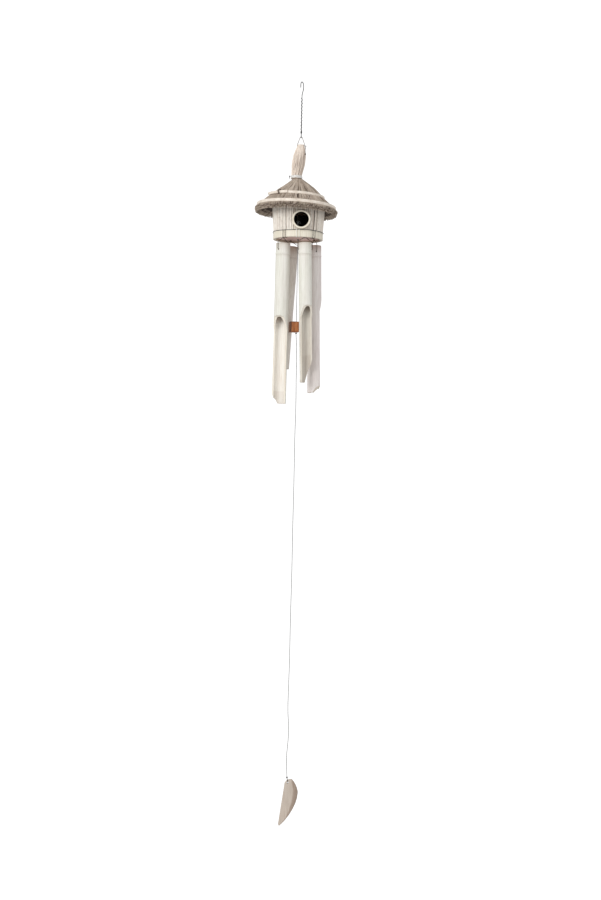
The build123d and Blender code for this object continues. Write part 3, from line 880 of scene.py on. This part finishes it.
HOUSE = Vector((HOUSE_X, 0, 0))
WALL_FOOT = (39.6, -241.0)
WALL_HEAD = (42.2, -198.0)
REED_DEEP = 2.3
ENTRANCE = middle("entrance_ring")
ENTRANCE_OUTER = half_width("entrance_ring") / MM
REED_CUT_RADIUS = ENTRANCE_OUTER - 1.2
# The reeds at these angles are set back and coloured darker: painted shade in gaps of the wall.
DARK_SEAMS = (242, 262, 309, 315)


REED_SECTION = ((-1, -0.75), (-0.9, -0.3), (-0.5, -0.05), (0, 0.05), (0.5, -0.05), (0.9, -0.3), (1, -0.75))


def reed(shape, degrees, width, low, high, out, shade):
    """One split reed between two heights: a rounded face outside, its edges and top darker and its sides and inside
    face near black, as painted shade between the reeds, under the roof and inside the house.
    """
    rows = []
    steps = 8
    bow = uniform(-0.12, 0.12)
    for i in range(steps + 1):
        height = low + (high - low) * i / steps
        share = (height - WALL_FOOT[1]) / (WALL_HEAD[1] - WALL_FOOT[1])
        base = WALL_FOOT[0] + (WALL_HEAD[0] - WALL_FOOT[0]) * share + out + bow * sin(pi * share)
        half = in_degrees(width / 2 / base)
        tone = shade + (0.25 if i == steps else 0.0)
        row = []
        for across, crown in REED_SECTION:
            edge = 0.55 if abs(across) == 1 else (0.12 if abs(across) > 0.8 else 0.0)
            place = polar(HOUSE, base + crown, degrees + half * across, height)
            row.append(shape.point(place, min(1.0, tone + edge)))
        for turn in (half + 0.16, -half - 0.16):
            row.append(shape.point(polar(HOUSE, base - REED_DEEP, degrees + turn, height), 1.0))
        rows.append(row)
    shape.grid(rows, lambda k: int(k >= 6), closed=True)
    shape.face(reversed(rows[0]))
    shape.face(rows[-1])


def reed_head(degrees):
    """Where the roof's underside meets a reed's head."""
    head = polar(HOUSE, WALL_HEAD[0], degrees, 0)
    return along(UNDERSIDE, (head - ROOF).length / MM) - 0.3 - (head.x - ROOF.x) / MM * tan(ROOF_TILT)


# Near black for the reeds' sides and inner faces and for the entrance ring's bore and back: painted shade inside the
# house and between the reeds.
INSIDE = dry_stalk(
    "painted_shade_inside", (0.022, 0.016, 0.012), (0.015, 0.011, 0.008), (0.006, 0.005, 0.004), (0.012, 0.010, 0.008)
)
sides = {side: Shape() for side in ("front", "right", "back", "left")}
degrees = 0.0
while degrees < 358.6:
    width = min(choice((1.7, 2.0, 2.3, 2.6, 2.9, 3.2)), radians(360 - degrees) * 39)
    span = in_degrees(width / WALL_FOOT[0])
    here = degrees + span / 2
    side = ("right", "back", "left", "front")[int((here + 45) % 360 // 90)]
    seam = min(abs(here - dark) for dark in DARK_SEAMS) < span / 2
    shade = choice((0.0, 0.05, 0.1, 0.1, 0.2, 0.3, 0.45)) + (0.5 if seam else 0.0)
    inset = uniform(-0.35, 0.1) - (0.9 if seam else 0.0)
    across = HOUSE_X / MM + WALL_FOOT[0] * cos(radians(here)) - ENTRANCE.x / MM
    head = reed_head(here)
    runs = [(WALL_FOOT[1], head, 0.0)]
    if 180 < here < 360 and abs(across) < REED_CUT_RADIUS:
        rise = sqrt(REED_CUT_RADIUS**2 - across**2)
        runs = [(WALL_FOOT[1], ENTRANCE.z / MM - rise, 0.0), (ENTRANCE.z / MM + rise, head, 0.15)]
    for low, high, extra in runs:
        reed(sides[side], here, width - 0.12, low, high, inset, shade + extra)
    degrees += span + 0.1
for side, shape in sides.items():
    shape.piece(f"reeds_{side}", [REED, INSIDE], "house", "reed", [f"wall_reeds_{side}"], smooth_angle=50)
for node in ("wall_hoop_upper", "wall_hoop_lower"):
    refinish(node, RAW_CANE)


# ---- the entrance's ring


def lathe(shape, place, outline, segments, wobble, shades):
    """Turns an outline of (radius, height) points in millimetres round the local Z of a matrix."""
    rows = []
    for step in range(segments):
        turn = 2 * pi * step / segments
        row = []
        for (radius, height), shade in zip(outline, shades):
            reach = (radius + wobble(step * 360 / segments)) * MM
            local = Vector((reach * cos(turn), reach * sin(turn), height * MM))
            row.append(shape.point(place @ local, shade))
        rows.append(row)
    shape.grid(rows + rows[:1], lambda k: int(k in (0, 9)), closed=True)


entrance = Shape()
ring_low, ring_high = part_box("entrance_ring")
front = -ring_low[1] / MM
back = -ring_high[1] / MM
INNER = ENTRANCE_OUTER - 3.0
ring_outline = [
    (INNER, back), (INNER, front - 0.5), (INNER + 0.15, front - 0.15), (INNER + 0.5, front), (INNER + 1.5, front),
    (ENTRANCE_OUTER - 0.7, front), (ENTRANCE_OUTER - 0.25, front - 0.2), (ENTRANCE_OUTER, front - 0.7),
    (ENTRANCE_OUTER, front - 4.5), (ENTRANCE_OUTER - 0.2, back),
]
# The ring is coloured darker towards its bore and its back, which take the near-black inside colour: painted shade in
# the entrance and where the ring meets the reeds.
lathe(
    entrance, Matrix.Translation((ENTRANCE.x, 0, ENTRANCE.z)) @ Matrix.Rotation(radians(90), 4, "X"),
    ring_outline, 72, lambda degrees: 0.12 * sin(radians(3 * degrees + 40)) - 0.12,
    (1.0, 0.75, 0.35, 0.05, 0.0, 0.05, 0.15, 0.25, 0.8, 1.0),
)
entrance.piece("entrance_bamboo_ring", [CREAM, INSIDE], "house", "entrance_bamboo", ["entrance_ring"])


# ---- the base's ring, its floor and its ties

base = Shape()
base_low, base_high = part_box("base_ring")
BASE_OUTER = half_width("base_ring") / MM
# The ring is lightest on its outer face and coloured darker over its top and inner face: painted shade under the wall
# and inside the house.
lathe(
    base, Matrix.Translation(HOUSE),
    rounded_box_outline(BASE_OUTER - 4.7, BASE_OUTER, base_low[2] / MM, base_high[2] / MM, 0.8), 120,
    lambda degrees: 0.22 * sin(radians(2 * degrees + 30)) + 0.1 * sin(radians(9 * degrees)) - 0.3,
    (0.3, 0.2, 0.2, 0.0, 0.0, 0.25, 0.4, 0.6, 0.9, 0.5),
)
base.piece("base_bamboo_ring", [CREAM, CUT], "house", "washed_bamboo", ["base_ring"])
refinish("floor_disc", PINK)

floor_knots = Shape()
FLOOR_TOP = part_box("floor_disc")[1][2]
for centre in [HOUSE] + [pivot(f"cord_{number}_swing") for number in (1, 2, 3, 4)]:
    add_knot(floor_knots, (centre.x, centre.y, FLOOR_TOP + 1.55 * MM), 3.3 * MM, 1.05 * MM)
    stub = [Vector((centre.x, centre.y, FLOOR_TOP + (0.4 - 1.0 * i) * MM)) for i in range(5)]
    add_rope(floor_knots, stub, 0.95 * MM)
floor_knots.piece("floor_cord_knots", [DARK_CORD], "house", "dark_cord", ["floor_knots"])

wire = Shape()
wire_z = middle("base_wire").z / MM
wire_radius = half_width("base_wire") / MM - 0.5
wire_path = [
    polar(HOUSE, wire_radius + 0.06 * sin(k * 0.7), 3 * k, wire_z + 0.35 * sin(k * 0.21)) for k in range(120)
]
add_hoop(wire, wire_path, 0.85 * MM, 8)
wire.piece("base_binding_wire", [DARK_WIRE], "house", "dark_wire", ["base_wire"])

TIES = ((1, 238, NATURAL_CORD, "natural_cord"), (2, 270, TIE_CORD, "tie_cord"), (3, 308, DARK_CORD, "dark_cord"))
BASE_FOOT = base_low[2] / MM
FLOOR_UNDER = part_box("floor_disc")[0][2] / MM
TIE_ROUTE = (
    (41.55, -240.8), (41.5, -247), (41.3, BASE_FOOT - 0.6), (39, BASE_FOOT - 0.75), (36, BASE_FOOT - 0.6),
    (34.6, BASE_FOOT - 0.3), (34.5, FLOOR_UNDER - 0.1),
)
for number, angle, material, slot_name in TIES:
    shape = Shape()
    for turn in (angle - 3.38, angle + 2.6):
        line = smooth_route([polar(HOUSE, radius, turn, height) for radius, height in TIE_ROUTE])
        add_rope(shape, line, 0.95 * MM)
    shape.piece(f"base_tie_cord_{number}", [material], "house", slot_name, [f"base_tie_{number}"])


# ---- the four tubes and their cords

# Each tube: its outer diameter and length, its lean, the ways its cut and its hole face, and where its cut starts; the
# side, length and share of the radius of its trimmed lower corner; its skin, its bore and how much painted shade
# darkens its top.
Tube = namedtuple("Tube", "number od length lean faces hole cut tip tip_length tip_share skin bore stain")
TUBES = (
    Tube(1, 23.2, 255, 0.5, 250, 232, 115.5, -1, 18, 0.62, WASHED, BORE, 0.3),
    Tube(2, 24.0, 198, 3.2, 110, 20, 72, 1, 14, 0.5, SHADOWED, BORE, 1.0),
    Tube(3, 21.4, 221, -1.75, 299, 20, 99, 1, 42, 0.88, WASHED, SHADED_BORE, 0.3),
    Tube(4, 24.0, 236, -1.5, 42, 290, 83, -1, 13, 0.55, PINKISH, SHADED_BORE, 0.8),
)
TUBE_TOP = 10.5
NODE_Z = -6.5
WALL = 2.9
CUT_ENTRY = 2.2
CUT_SLOPE = 0.38
CUT_DEPTH = 0.08
HOLE_RADIUS = 1.2


def tube_shape(tube):
    """A tube upright, its cross hole's middle at the origin and its cut facing +X, in millimetres."""
    outer, bore = tube.od / 2, tube.od / 2 - WALL
    foot = TUBE_TOP - tube.length
    cut_top = TUBE_TOP - tube.cut
    depth = outer * CUT_DEPTH
    shape = Shape()
    phase = uniform(0, 6)

    through = bore - 0.3
    entry_span = outer + 1 - through
    slant_top = cut_top - CUT_ENTRY
    slant_foot = slant_top - (through - depth) / CUT_SLOPE

    def plane_at(height):
        """How far out the cut's plane is at a height: a steep entry through the wall, then a long slant."""
        if height >= slant_top:
            return min(outer + 1, through + entry_span * (height - slant_top) / (CUT_ENTRY + 0.9))
        return max(depth, through - CUT_SLOPE * (slant_top - height))

    def columns(plane):
        """The angles of a row's points: the cut edge, the skin all round, and the other cut edge."""
        first = acos(plane / bore) if plane < bore else 0.0
        second = acos(plane / outer) if plane < outer else 0.0
        edge = [first + (second - first) * i / 4 for i in range(4)]
        skin = [second + (2 * pi - 2 * second) * i / 44 for i in range(45)]
        return edge + skin + [2 * pi - angle for angle in reversed(edge)]

    def end_of(lateral):
        """The height of the tube's foot, whose corner is cut off, at a lateral place."""
        past = tube.tip * lateral - outer * (1 - tube.tip_share)
        slant = foot - 1 + (tube.tip_length + 1) * past / (outer * tube.tip_share + 1) if past > 0 else foot
        return max(foot, slant) + 0.35 * sin(lateral * 1.9 + phase) + 0.35

    heights = [TUBE_TOP, TUBE_TOP - 0.5, 6, 2, -2, -4.5]
    heights += [NODE_Z + 1.5 - 0.375 * i for i in range(9)]
    heights += [-12 + (cut_top + 1 + 12) * i / 10 for i in range(11)]
    widest = acos(through / outer)
    for i in range(13):
        plane = outer * cos(widest * i / 12)
        heights.append(slant_top + (plane - through) * (CUT_ENTRY + 0.9) / entry_span)
    heights += [slant_top + (slant_foot - slant_top) * (i + 1) / 18 for i in range(18)]
    low_start = foot + tube.tip_length + 3
    heights += [slant_foot + (low_start - slant_foot) * (i + 1) / 16 for i in range(16)]
    heights = sorted(set(heights), reverse=True)
    tip_rows = 10

    def behind_cut(radius, angle, plane):
        return min(radius, plane / cos(angle)) if cos(angle) > 1e-6 else radius

    def outer_radius(angle, height, plane):
        radius = outer - 0.12 + 0.10 * sin(2 * angle + phase) + 0.08 * sin(height * 0.06 + phase)
        radius += 0.45 * exp(-(((height - NODE_Z) / 0.9) ** 2))
        radius -= 0.18 * exp(-(((height - NODE_Z + 2.2) / 0.8) ** 2))
        radius -= 0.35 * max(0.0, 1 - (TUBE_TOP - height) / 0.5)
        return behind_cut(radius, angle, plane) if plane < outer + 0.5 else radius

    def bore_radius(angle, height, plane):
        return behind_cut(bore + 0.12 * sin(3 * angle + phase) * (height < NODE_Z - 2), angle, plane)

    def point(radius, angle, height, tone):
        return shape.point((radius * cos(angle), radius * sin(angle), height), tone)

    outside, inside = [], []
    for height in heights:
        plane = plane_at(height)
        tone = 0.25 * exp(-(((height - NODE_Z + 1.3) / 0.7) ** 2)) + 0.12 * (height > TUBE_TOP - 0.6)
        # The top of each tube is darkened, more on the tubes behind the others: painted shade under the house.
        tone += tube.stain * max(0.0, 1 - (TUBE_TOP - height) / 14)
        # The bore is darker near the top of the cut and darkest above the node: painted shade inside the tube.
        deep = 0.7 * max(0.0, 1 - abs(slant_top - height) / 9) if height < NODE_Z else 1.0
        out_row, in_row = [], []
        for place, angle in enumerate(columns(plane)):
            edge = 0.25 if place in (4, 48) and plane < outer else 0.0
            out_row.append(point(outer_radius(angle, height, plane), angle, height, min(1.0, tone + edge)))
            in_row.append(point(bore_radius(angle, height, plane), angle, height, deep))
        outside.append(out_row)
        inside.append(in_row)
    # The foot's rows: the bore a little darker, as painted shade, and the lowest row darker.
    for i in range(1, tip_rows + 1):
        out_row, in_row = [], []
        for angle in columns(depth):
            for row, radius_at, tone in ((out_row, outer_radius, 0.0), (in_row, bore_radius, 0.2)):
                radius = radius_at(angle, low_start, depth)
                bottom = end_of(radius * sin(angle))
                height = low_start + (bottom - low_start) * i / tip_rows
                row.append(point(radius, angle, height, tone + 0.3 * (i == tip_rows)))
        outside.append(out_row)
        inside.append(in_row)

    last = len(outside[0]) - 5
    shape.grid(outside, lambda k: int(k < 4 or k >= last))
    above = [row for row, height in zip(inside, heights) if height > NODE_Z + 1.2]
    below = [row for row, height in zip(inside, heights) if height < NODE_Z - 1.2] + inside[len(heights):]
    shape.grid(above, 2)
    shape.grid(below, 2)
    # The node's walls inside the bore are coloured dark: painted shade.
    for row in (above[-1], below[0]):
        centre = shape.point((0, 0, shape.points[row[0]][2]), 0.9)
        for a, b in zip(row, row[1:]):
            shape.face((a, b, centre), 2)
    for end in (0, -1):
        shape.grid([outside[end], inside[end]], 1)
    return shape


def drill(solid, position, direction, radius, length, material_index=1):
    """Cuts a round hole through an object's mesh along a direction."""
    cutter = bmesh.new()
    bmesh.ops.create_cone(cutter, cap_ends=True, segments=24, radius1=radius, radius2=radius, depth=length)
    turned = Matrix.Translation(position) @ Vector(direction).to_track_quat("Z", "Y").to_matrix().to_4x4()
    bmesh.ops.transform(cutter, matrix=turned, verts=cutter.verts)
    for face in cutter.faces:
        face.material_index = material_index
    mesh = bpy.data.meshes.new("cutter")
    cutter.to_mesh(mesh)
    cutter.free()
    for material in solid.data.materials:
        mesh.materials.append(material)
    tool = placed("cutter", mesh)
    cut = solid.modifiers.new("hole", "BOOLEAN")
    cut.operation = "DIFFERENCE"
    cut.solver = "EXACT"
    cut.object = tool
    bpy.context.view_layer.update()
    drilled = bpy.data.meshes.new_from_object(solid.evaluated_get(bpy.context.evaluated_depsgraph_get()))
    solid.modifiers.clear()
    solid.data = drilled
    bpy.data.objects.remove(tool)


LOOP_CORD = 1.0 * MM
for tube in TUBES:
    hang = pivot(f"chime_{tube.number}_swing")
    turned = (
        Matrix.Translation(hang)
        @ Matrix.Rotation(radians(tube.lean), 4, "Y")
        @ Matrix.Rotation(radians(tube.faces), 4, "Z")
        @ Matrix.Scale(MM, 4)
    )
    chime = tube_shape(tube).move(turned).piece(
        f"chime_tube_{tube.number}", [tube.skin, CUT, tube.bore], f"chime_{tube.number}", "washed_bamboo",
        [f"tube_{tube.number}"], weld=0.00003, smooth_angle=35,
    )
    across = way(tube.hole)
    drill(chime, hang, across, HOLE_RADIUS * MM, 0.05)

    # The loop goes down from its knot, over the rim, through both cross holes and back up.
    knot_at = pivot(f"cord_{tube.number}_swing")
    half = (tube.od / 2 + 1.6) * MM
    rim = Vector((hang.x, hang.y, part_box(f"tube_cord_{tube.number}")[1][2] - 8.1 * MM))
    half_loop = (
        (knot_at, 0.6 * MM, 0), (knot_at, half * 0.62, -5.2), (rim, half - 0.1 * MM, 0), (hang, half + 0.1 * MM, 3),
        (hang, half - 0.2 * MM, 0), (hang, half - 4 * MM, 0),
    )
    cord_route = [centre + across * out + Vector((0, 0, up * MM)) for centre, out, up in half_loop]
    cord_route += [centre - across * out + Vector((0, 0, up * MM)) for centre, out, up in reversed(half_loop)]
    shape = Shape()
    add_rope(shape, smooth_route(cord_route), LOOP_CORD, plies=3)
    add_knot(shape, knot_at, 3.0 * MM, LOOP_CORD)
    shape.piece(
        f"tube_loop_{tube.number}", [NATURAL_CORD], f"cord_{tube.number}", "natural_cord", [f"tube_cord_{tube.number}"]
    )


# ---- the striker and the line's knots

STRIKER_SIDE = 13.5 * MM
STRIKER_TURN = 16.5
block_low, block_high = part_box("striker_block")
block_centre = middle("striker_block")
block_size = Vector((STRIKER_SIDE, STRIKER_SIDE, block_high[2] - block_low[2]))
block = bmesh.new()
bmesh.ops.create_cube(block, size=1.0)
bmesh.ops.scale(block, vec=block_size, verts=block.verts)
bmesh.ops.bevel(block, geom=block.edges[:], offset=0.9 * MM, segments=3, profile=0.6, affect="EDGES")
long_edges = [edge for edge in block.edges if edge.calc_length() > 6 * MM]
bmesh.ops.subdivide_edges(block, edges=long_edges, cuts=9, use_grid_fill=True)
bmesh.ops.triangulate(block, faces=[face for face in block.faces if len(face.verts) > 4])
striker = Shape()
for vertex in block.verts:
    place = vertex.co
    near = sorted(size / 2 - abs(value) for size, value in zip(block_size, place))
    edge = max(0.0, 1 - near[1] / (1.6 * MM))
    dent = 0.12 * MM * sin(place.x * 900 + place.z * 700) * sin(place.y * 800 - place.z * 500)
    # Darker along the block's edges and over its left face.
    darkening = 0.75 * edge + (0.65 if place.x < 0.2 * MM - STRIKER_SIDE / 2 else 0.0)
    striker.point(place * (1 - abs(dent) / 0.007), min(1.0, darkening))
for face in block.faces:
    striker.face([vertex.index for vertex in face.verts])
block.free()
turned = Matrix.Translation(block_centre) @ Matrix.Rotation(radians(STRIKER_TURN), 4, "Z")
wood = striker.move(turned).piece("striker_wood_block", [STRIKER_WOOD], "striker", "striker_wood", ["striker_block"])
drill(wood, (HOUSE_X, 0, block_centre.z), (0, 0, 1), 0.85 * MM, 0.03, 0)

for name, node, body in (
    ("line_top_knot", "striker_line_knot", "striker_pivot"), ("line_stop_knot", "striker_stop_knot", "sail_line_pivot"),
):
    shape = Shape()
    add_knot(shape, middle(node), 3.1 * MM, 0.95 * MM, turns=4)
    shape.piece(name, [NYLON], body, "clear_line", [node])


# ---- the sail and its loop

SAIL_TOP = -1114.8
SAIL_CROWN = 46.0
SAIL_THICK = 4.2
CROWN_CENTRE = Vector((-6.2, SAIL_CROWN - SAIL_THICK / 2, -1152))
CROWN_LEAN = radians(8)
SAIL_LEFT = [
    (6.1, -1115), (2.2, -1114.75), (-1.2, -1116), (-3.7, -1118.1), (-5.5, -1120.8), (-14.8, -1187), (-13.2, -1190),
]
SAIL_RIGHT = [
    (6.1, -1115), (9.4, -1119.1), (12.2, -1124), (14.5, -1129.8), (16, -1136), (15.0, -1145.2), (12.3, -1154.3),
    (8.2, -1163.0), (2.3, -1172.6), (-5.1, -1181.9), (-13.2, -1190),
]
SAIL_RIDGE = [
    (6.0, -1114), (6.3, -1122), (8.3, -1131), (7.8, -1141), (5.6, -1153), (2.4, -1165), (-2.6, -1176), (-9, -1185),
    (-13.2, -1190),
]
SAIL_FOOT = -1189.95
SAIL_ROWS = 90
SAIL_COLUMNS = 26


def across_at(line, height):
    """The X of an outline given as (x, z) points, at a height."""
    for a, b in zip(line, line[1:]):
        if b[1] <= height <= a[1] or a[1] <= height <= b[1]:
            span = b[1] - a[1]
            return a[0] + (b[0] - a[0]) * (height - a[1]) / span if span else a[0]
    return line[0][0] if height > line[0][1] else line[-1][0]


def shell_y(x, z, radius):
    """The Y of a leaning cylinder of a radius, which the sail was split from."""
    lean = (x - CROWN_CENTRE.x) * cos(CROWN_LEAN) - (z - CROWN_CENTRE.z) * sin(CROWN_LEAN)
    return CROWN_CENTRE.y - sqrt(max(0.0, radius * radius - lean * lean))


sail = Shape()
front_rows, back_rows = [], []
for i in range(SAIL_ROWS + 1):
    height = SAIL_TOP + (SAIL_FOOT - SAIL_TOP) * (i / SAIL_ROWS) ** 1.25
    left, right, ridge = (across_at(line, height) for line in (SAIL_LEFT, SAIL_RIGHT, SAIL_RIDGE))
    front_row, back_row = [], []
    for k in range(SAIL_COLUMNS + 1):
        x = left + (right - left) * (0.5 - 0.5 * cos(pi * k / SAIL_COLUMNS))
        from_edge = min(x - left, right - x, (SAIL_TOP - height) * 1.2)
        round_off = 0.9 * max(0.0, 1 - from_edge / 1.3) ** 2
        past = x - ridge
        turned_back = 0.10 * max(0.0, past) ** 1.5
        # Right of the ridge the plate turns back and is coloured darker: painted shade on the side turned from the
        # light. Its rim is a little darker too.
        tone = min(1.0, max(0.0, 0.5 + past * 0.8)) * 0.62 + 0.10 * max(0.0, past) / 6
        tone += 0.12 * (from_edge < 0.6)
        front = shell_y(x, height, SAIL_CROWN) + round_off + turned_back * 0.6
        behind = shell_y(x, height, SAIL_CROWN - SAIL_THICK) - round_off
        front_row.append(sail.point(Vector((x, min(front, behind - 0.3), height)) * MM, min(1.0, tone)))
        back_row.append(sail.point(Vector((x, behind, height)) * MM, 0.5))
    front_rows.append(front_row)
    back_rows.append(back_row)
sail.grid(front_rows)
sail.grid(back_rows, 1)
for k in (0, -1):
    sail.grid([[row[k] for row in front_rows], [row[k] for row in back_rows]])
for i in (0, -1):
    sail.grid([front_rows[i], back_rows[i]])
SAIL_HOLE = pivot("sail_swing")
sail_piece = sail.piece(
    "sail_bamboo_plate", [SAIL, SAIL_INSIDE], "wind_sail", "sail_bamboo", ["sail"], weld=0.00002, smooth_angle=50,
)
drill(sail_piece, SAIL_HOLE, (0, 1, 0), 1.5 * MM, 0.03, 1)

LOOP_RADIUS = 3.5
LOOP_LEAN = radians(-10)
loop_up = Vector((sin(LOOP_LEAN), 0, cos(LOOP_LEAN)))
ring = []
for k in range(40):
    turn = 2 * pi * k / 40
    sideways = Vector((0, LOOP_RADIUS * sin(turn), 0))
    ring.append(SAIL_HOLE + (loop_up * (LOOP_RADIUS - LOOP_RADIUS * cos(turn)) + sideways) * MM)
sail_loop = Shape()
add_rope(sail_loop, ring, 1.0 * MM, closed=True)
add_knot(sail_loop, SAIL_HOLE + loop_up * 8 * MM, 3.0 * MM, 1.0 * MM)
sail_loop.piece("sail_loop_cord", [DARK_CORD], "sail_loop", "dark_cord", ["sail_knot"])
